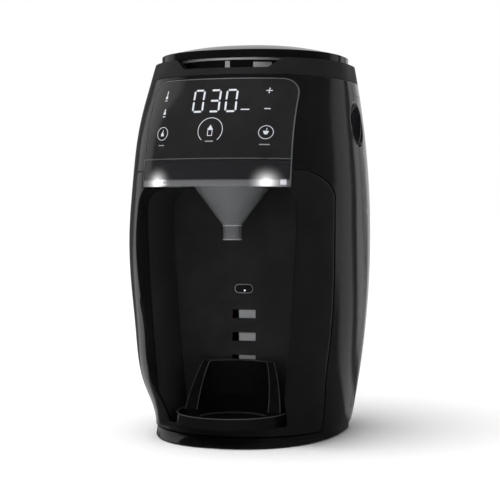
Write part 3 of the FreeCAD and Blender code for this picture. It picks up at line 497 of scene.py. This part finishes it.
# %% Middle touch field
START_LEVEL = 272.3
start_parts = [
    flat_ring(0, START_LEVEL, 10.9, 0.5, open_below=-7.9),
    flat_bar(-1.9, START_LEVEL - 2.2, 0.5, 4.8),
    flat_bar(1.9, START_LEVEL - 2.2, 0.5, 4.8),
    flat_bar(0, START_LEVEL - 4.6, 4.2, 0.5),
    flat_bar(0, START_LEVEL + 0.9, 4.4, 1.5),
    flat_bar(0, START_LEVEL + 2.3, 2.8, 1.3),
    flat_bar(0, START_LEVEL + 3.5, 1.2, 1.4),
]
film(joined(start_parts, "start_field"), "panel_glass", mark_light)

# %% Side touch fields
SIDE_FIELD = 45.8
SIDE_LEVEL = 270.4
SIDE_RADIUS = 5.8
cup_parts = [
    flat_ring(SIDE_FIELD, SIDE_LEVEL, SIDE_RADIUS, 0.45),
    flat_bar(SIDE_FIELD, SIDE_LEVEL + 0.7, 4.2, 0.9),
    flat_bar(SIDE_FIELD, SIDE_LEVEL - 0.3, 3.6, 0.9),
    flat_bar(SIDE_FIELD, SIDE_LEVEL - 1.3, 2.6, 0.9),
    flat_bar(SIDE_FIELD + 0.5, SIDE_LEVEL + 2.6, 0.5, 1.8, 0.2),
]
film(joined(cup_parts, "cup_field"), "panel_glass", mark_light)
drop_parts = [
    flat_ring(-SIDE_FIELD, SIDE_LEVEL, SIDE_RADIUS, 0.45),
    flat_bar(-SIDE_FIELD, SIDE_LEVEL - 1.1, 2.8, 2.2),
    flat_bar(-SIDE_FIELD, SIDE_LEVEL + 0.7, 1.6, 1.2),
    flat_bar(-SIDE_FIELD + 0.5, SIDE_LEVEL + 2.3, 0.6, 1.6, 0.3),
]
film(joined(drop_parts, "strength_field"), "panel_glass", mark_light)

# %% Plus, minus, signs and dashes
PLUS = (43.5, 307)
MINUS = (44.6, 290.8)
HEAT_X, HEAT_LEVEL = -48.8, 302.6
POWDER_X, POWDER_LEVEL = -47.2, 288.3
SIGN_LINE = 0.7
sign_parts = [
    flat_bar(*PLUS, 5.0, SIGN_LINE),
    flat_bar(*PLUS, SIGN_LINE, 5.0),
    flat_bar(*MINUS, 4.8, SIGN_LINE),
    flat_bar(HEAT_X, HEAT_LEVEL, 2.2, 2.2),
    flat_bar(HEAT_X, HEAT_LEVEL + 3.4, 0.8, 5.4),
    flat_bar(HEAT_X, HEAT_LEVEL - 2.7, 3.2, 0.5),
    flat_bar(POWDER_X, POWDER_LEVEL, 2.4, 2.0),
    flat_bar(POWDER_X, POWDER_LEVEL + 2.3, 1.2, 2.8),
    flat_bar(POWDER_X, POWDER_LEVEL - 2.9, 2.4, 0.8),
]
film(joined(sign_parts, "small_signs"), "panel_glass", mark_light)
dash_parts = [flat_bar(0, 262.9, 7, 0.9), flat_bar(SIDE_FIELD - 0.4, 260, 8, 0.8),
              flat_bar(-SIDE_FIELD, 260.2, 6, 0.7)]
film(joined(dash_parts, "field_dashes"), "panel_glass", mark_dim)

# %% [markdown]
# ## The sensor's light and rim
# The oval window in the back of the bay has a pale rim and one lit point. The rim is a flat ring with
# the window's shape, drawn as a bar with round ends, and inset.

# %% Sensor rim and point
low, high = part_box("sensor_window")
window_x = (high[0] - low[0]) / MM
window_z = (high[2] - low[2]) / MM
window_level = (high[2] + low[2]) / 2 / MM
RIM_CLEARANCE = 0.6
RIM_LINE = 0.55
ROUND_SHARE = 0.98
rim_height = window_z - RIM_CLEARANCE
rim = flat_bar(0, window_level, window_x - RIM_CLEARANCE, rim_height)
bpy.ops.object.mode_set(mode="EDIT")
bpy.ops.mesh.select_all(action="SELECT")
bpy.ops.mesh.bevel(offset=rim_height * 0.5 * MM * ROUND_SHARE, segments=10, affect="VERTICES")
bpy.ops.mesh.select_all(action="SELECT")
bpy.ops.mesh.inset(thickness=RIM_LINE * MM)
bpy.ops.mesh.delete(type="FACE")
bpy.ops.object.mode_set(mode="OBJECT")
film(joined([rim], "sensor_rim"), "sensor_window", keeper_grey)
POINT_X, POINT_BELOW = 0.9, 1.6
POINT_RADIUS, POINT_LINE = 0.75, 0.7
point = flat_ring(POINT_X, window_level - POINT_BELOW, POINT_RADIUS, POINT_LINE)
film(joined([point], "sensor_point"), "sensor_window", point_light)

# %% [markdown]
# ## Bright gaps behind the finger notch
# Two pale patches on the neck of the powder container are painted light: they stand for the bright gaps
# seen through the notch in the collar. They are short strips of film, laid on the container like the marks
# on the glass.
# Each row below gives a patch's place across, its level, its width and its height in millimetres.

# %% Painted glints in the notch
NOTCH_GLINTS = [(-0.7, 332.6, 4.4, 6.4), (29.2, 332.4, 15, 4.6)]
glint_patches = [flat_bar(*glint) for glint in NOTCH_GLINTS]
# The film patches are painted light, not parts of the container.
film(joined(glint_patches, "notch_glint_film"), "powder_container", keeper_grey)

# %% [markdown]
# ## Beads along the tray and the grips
# The tray's rim and the grips at the sides end in a thin round bead that catches the light. The beads are
# coloured a lighter grey than the black they sit on, a painted highlight line along each edge. A bead
# starts as a circle primitive with one vertex for each point of its path. The vertices are moved to the
# path, an open path loses its last edge, and the row is turned into a curve with a round section and then
# back into a mesh.

# %% Helper: bead along a row of points
SMOOTH_ANGLE = math.radians(40)


def bead(points, radius, name, material, body, closed=False):
    bpy.ops.object.select_all(action="DESELECT")
    bpy.ops.mesh.primitive_circle_add(vertices=len(points), fill_type="NOTHING")
    piece = bpy.context.active_object
    piece.name = name
    piece.data.name = name
    last = len(points) - 1
    for vertex, point in zip(piece.data.vertices, points):
        vertex.co = point
    if not closed:
        bpy.ops.object.mode_set(mode="EDIT")
        bpy.ops.mesh.select_all(action="DESELECT")
        bpy.ops.mesh.select_mode(type="EDGE")
        bpy.ops.object.mode_set(mode="OBJECT")
        for edge in piece.data.edges:
            edge.select = set(edge.vertices) == {0, last}
        bpy.ops.object.mode_set(mode="EDIT")
        bpy.ops.mesh.delete(type="EDGE_FACE")
        bpy.ops.object.mode_set(mode="OBJECT")
    bpy.ops.object.convert(target="CURVE")
    piece = bpy.context.view_layer.objects.active
    piece.data.bevel_depth = radius
    piece.data.bevel_resolution = 3
    piece.data.use_fill_caps = True
    bpy.ops.object.convert(target="MESH")
    piece = bpy.context.view_layer.objects.active
    bpy.ops.object.mode_set(mode="EDIT")
    bpy.ops.mesh.select_all(action="SELECT")
    bpy.ops.mesh.normals_make_consistent(inside=False)
    bpy.ops.object.mode_set(mode="OBJECT")
    bpy.ops.object.shade_smooth_by_angle(angle=SMOOTH_ANGLE)
    piece.data.materials.clear()
    piece.data.materials.append(material)
    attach(piece, body)
    print(name, len(piece.data.polygons), "faces")


# %% Grip beads
GRIP_CENTRE = (20 * MM, 283 * MM)
GRIP_BEAD = 0.45 * MM
GRIP_STEPS = 96
GRIP_LENGTH = 21.2 * MM
GRIP_HEIGHT = 20.2 * MM
SEAM = 30.4 * MM
SEAM_GAP = 0.9 * MM
FAR_SIDE = 0.2


def grip_points(side, node_name, keep):
    """Points round the recess, pushed in from the side on to one node."""
    points = []
    first = math.pi if node_name == "water_tank" else 0
    for step in range(GRIP_STEPS + 1):
        angle = first + math.tau * step / GRIP_STEPS
        y = GRIP_CENTRE[0] + GRIP_LENGTH * math.cos(angle)
        z = GRIP_CENTRE[1] + GRIP_HEIGHT * math.sin(angle)
        hit, where, _, _ = nodes[node_name].ray_cast(Vector((side * FAR_SIDE, y, z)), Vector((-side, 0, 0)))
        if hit and keep(y):
            points.append(where)
    return points


for side, word in ((1, "right"), (-1, "left")):
    front = grip_points(side, "body_shell", lambda y: y < SEAM - SEAM_GAP)
    rear = grip_points(side, "water_tank", lambda y: y > SEAM + SEAM_GAP)
    # The grip beads are lighter grey than the body and tank: a painted highlight round each recess.
    bead(front, GRIP_BEAD, "grip_bead_front_" + word, trim_grey, "housing")
    bead(rear, GRIP_BEAD, "grip_bead_rear_" + word, trim_grey, "tank")

# %% Tray bead
TRAY_AXIS = Vector((0, -44 * MM, 0))
TRAY_RADIUS = 48.9 * MM
RIM_BEAD = 1.1 * MM
RIM_LEVEL = 26.4 * MM
RIM_STEPS = 144
RIM_SINK = 0.4
TRAY_WALL = 2.2 * MM
tray_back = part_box("bottle_tray")[1][1]
rim_points = []
for step in range(RIM_STEPS + 1):
    angle = math.pi / 2 + math.tau * step / RIM_STEPS
    point = TRAY_AXIS + Vector((math.cos(angle), math.sin(angle), 0)) * TRAY_RADIUS
    point.z = RIM_LEVEL - RIM_BEAD * RIM_SINK
    if point.y < tray_back - TRAY_WALL:
        rim_points.append(point)
# The rim bead's lighter grey is a painted highlight along the tray's rim.
bead(rim_points, RIM_BEAD, "tray_rim_bead", edge_highlight_grey, "tray")

# %% [markdown]
# ## Edges of the bottle rest
# The rest is a cone-shaped wall cut by a sloping plane, so its two edges rise from the rim to a level
# top. The same cone and plane give the points of a bead along each edge. A third bead rings the dish.

# %% Rest beads
REST_FOOT = 45 * MM
REST_HEAD = 38.4 * MM
REST_INNER = 33 * MM
REST_TOP = 68.4 * MM
CONE_BOTTOM = 19.4 * MM
CUT_ANGLE = math.radians(54)
CUT_ABOVE = 1 * MM
CUT_SLOPE = (REST_TOP + CUT_ABOVE - RIM_LEVEL) / (REST_INNER * math.cos(CUT_ANGLE))
REST_BACK = tray_back - 0.5 * MM
EDGE_BEAD = 0.55 * MM
EDGE_STEPS = 90
SETTLING_ROUNDS = 12
DISH_RADIUS = 31 * MM
DISH_LEVEL = 20.7 * MM
DISH_STEPS = 96


def rest_edge(outer):
    """Points along the cut edge of the rest, on its outer cone or its inner cylinder."""
    points = []
    for step in range(EDGE_STEPS + 1):
        angle = math.pi * (step / EDGE_STEPS - 0.5)
        level = RIM_LEVEL
        for _ in range(SETTLING_ROUNDS):
            share = (level - CONE_BOTTOM) / (REST_TOP - CONE_BOTTOM)
            radius = REST_FOOT + (REST_HEAD - REST_FOOT) * share if outer else REST_INNER
            level = min(REST_TOP, RIM_LEVEL + radius * math.cos(angle) * CUT_SLOPE)
        point = TRAY_AXIS + Vector((radius * math.sin(angle), radius * math.cos(angle), level))
        point.y = min(point.y, REST_BACK)
        points.append(point)
    return points


# The rest and dish beads are painted highlight lines as well: lighter grey than the black tray.
bead(rest_edge(True), EDGE_BEAD, "rest_outer_bead", edge_highlight_grey, "tray")
bead(rest_edge(False), EDGE_BEAD, "rest_inner_bead", edge_highlight_grey, "tray")
dish_points = []
for step in range(DISH_STEPS):
    turn = math.tau * step / DISH_STEPS
    across = Vector((math.cos(turn), math.sin(turn), 0)) * DISH_RADIUS
    dish_points.append(TRAY_AXIS + across + Vector((0, 0, DISH_LEVEL)))
bead(dish_points, EDGE_BEAD, "dish_bead", edge_highlight_grey, "tray", closed=True)

# %% Funnel beads
SPOUT_RADIUS = 8.2 * MM
SPOUT_BEAD = 0.5 * MM
SPOUT_STEPS = 64
SPOUT_LEVELS = (("top", 191.5 * MM), ("mouth", 179.2 * MM))
# The spout rings are painted highlights: a lighter, less clear plastic than the funnel.
for word, spout_level in SPOUT_LEVELS:
    ring_points = []
    for step in range(SPOUT_STEPS):
        turn = math.tau * step / SPOUT_STEPS
        across = Vector((math.cos(turn), math.sin(turn), 0)) * SPOUT_RADIUS
        ring_points.append(TRAY_AXIS + across + Vector((0, 0, spout_level)))
    bead(ring_points, SPOUT_BEAD, "spout_bead_" + word, clear_edge_highlight, "funnel_drawer",
         closed=True)

# %% [markdown]
# ## The light bands
# A gloss black body shows its surroundings rather than its own colour. In the photograph, long upright
# bands run down both sides: strips of light stood behind the machine to the left and the right, with
# black card in front. Here those surroundings are written as brightness by direction round the machine,
# in degrees from the front. The world uses them above the horizon, and the floor uses the same bands
# in reflections, so that they run down to the foot.

# %% Light bands by direction
BANDS = [
    (-180, 0.6), (-160, 0.6), (-156, 0.1), (-134, 0.08), (-128, 0.5), (-100, 0.4), (-94, 0.04),
    (-60, 0.02), (70, 0.02), (104, 0.05), (128, 0.07), (133, 0.3), (148, 0.34), (151, 0.07),
    (156, 0.07), (158, 0.42), (163, 0.42), (165, 0.12), (168, 0.8), (180, 0.8),
]


def banded(tree, direction):
    """Brightness by direction round the upright axis."""
    split = tree.nodes.new("ShaderNodeSeparateXYZ")
    tree.links.new(direction, split.inputs["Vector"])
    away = tree.nodes.new("ShaderNodeMath")
    away.operation = "MULTIPLY"
    away.inputs[1].default_value = -1
    tree.links.new(split.outputs["Y"], away.inputs[0])
    angle = tree.nodes.new("ShaderNodeMath")
    angle.operation = "ARCTAN2"
    tree.links.new(split.outputs["X"], angle.inputs[0])
    tree.links.new(away.outputs["Value"], angle.inputs[1])
    part = tree.nodes.new("ShaderNodeMapRange")
    part.inputs["From Min"].default_value = -math.pi
    part.inputs["From Max"].default_value = math.pi
    tree.links.new(angle.outputs["Value"], part.inputs["Value"])
    ramp = tree.nodes.new("ShaderNodeValToRGB")
    stops = ramp.color_ramp.elements
    while len(stops) < len(BANDS):
        stops.new(0.5)
    for stop, (degrees, bright) in zip(stops, BANDS):
        stop.position = (degrees + 180) / 360
        stop.color = (bright, bright, bright, 1)
    tree.links.new(part.outputs["Result"], ramp.inputs["Fac"])
    return ramp.outputs["Color"]


# %% Floor
bpy.ops.object.select_all(action="DESELECT")
bpy.ops.mesh.primitive_plane_add(size=60, location=(0, 0, 0))
floor = bpy.context.active_object
floor.name = "floor"
floor_material, floor_tree, floor_shader = new_graph("floor_white")
floor_shader.inputs["Base Color"].default_value = (0.92, 0.92, 0.92, 1)
floor_shader.inputs["Roughness"].default_value = 0.7
floor_shader.inputs["Specular IOR Level"].default_value = 0.1
floor_place = floor_tree.nodes.new("ShaderNodeTexCoord")
floor_glow = floor_tree.nodes.new("ShaderNodeEmission")
floor_tree.links.new(banded(floor_tree, floor_place.outputs["Object"]), floor_glow.inputs["Color"])
floor_path = floor_tree.nodes.new("ShaderNodeLightPath")
floor_mix = floor_tree.nodes.new("ShaderNodeMixShader")
floor_tree.links.new(floor_path.outputs["Is Glossy Ray"], floor_mix.inputs["Fac"])
floor_tree.links.new(floor_shader.outputs["BSDF"], floor_mix.inputs[1])
floor_tree.links.new(floor_glow.outputs["Emission"], floor_mix.inputs[2])
floor_tree.links.new(floor_mix.outputs["Shader"], floor_tree.nodes["Material Output"].inputs["Surface"])
floor.data.materials.append(floor_material)

# %% World
DAYLIGHT = 0.55
world = bpy.data.worlds.new("studio")
bpy.context.scene.world = world
world.use_nodes = True
world_tree = world.node_tree
background = world_tree.nodes["Background"]
background.inputs["Strength"].default_value = 1
direction = world_tree.nodes.new("ShaderNodeTexCoord")
path = world_tree.nodes.new("ShaderNodeLightPath")
soft = world_tree.nodes.new("ShaderNodeMix")
soft.data_type = "RGBA"
soft.inputs["A"].default_value = (DAYLIGHT, DAYLIGHT, DAYLIGHT, 1)
world_tree.links.new(path.outputs["Is Glossy Ray"], soft.inputs["Factor"])
world_tree.links.new(banded(world_tree, direction.outputs["Generated"]), soft.inputs["B"])
seen = world_tree.nodes.new("ShaderNodeMix")
seen.data_type = "RGBA"
seen.inputs["B"].default_value = (1, 1, 1, 1)
world_tree.links.new(path.outputs["Is Camera Ray"], seen.inputs["Factor"])
world_tree.links.new(soft.outputs["Result"], seen.inputs["A"])
world_tree.links.new(seen.outputs["Result"], background.inputs["Color"])

# %% Sun
SUN_FROM = Vector((-0.26, -0.3, 1.0))
sun_data = bpy.data.lights.new("sun", "SUN")
sun_data.energy = 2.5
sun_data.angle = math.radians(50)
sun = bpy.data.objects.new("sun", sun_data)
bpy.context.scene.collection.objects.link(sun)
sun.rotation_euler = SUN_FROM.to_track_quat("Z", "Y").to_euler()
sun.visible_glossy = False
print("bands, floor, world and sun set")
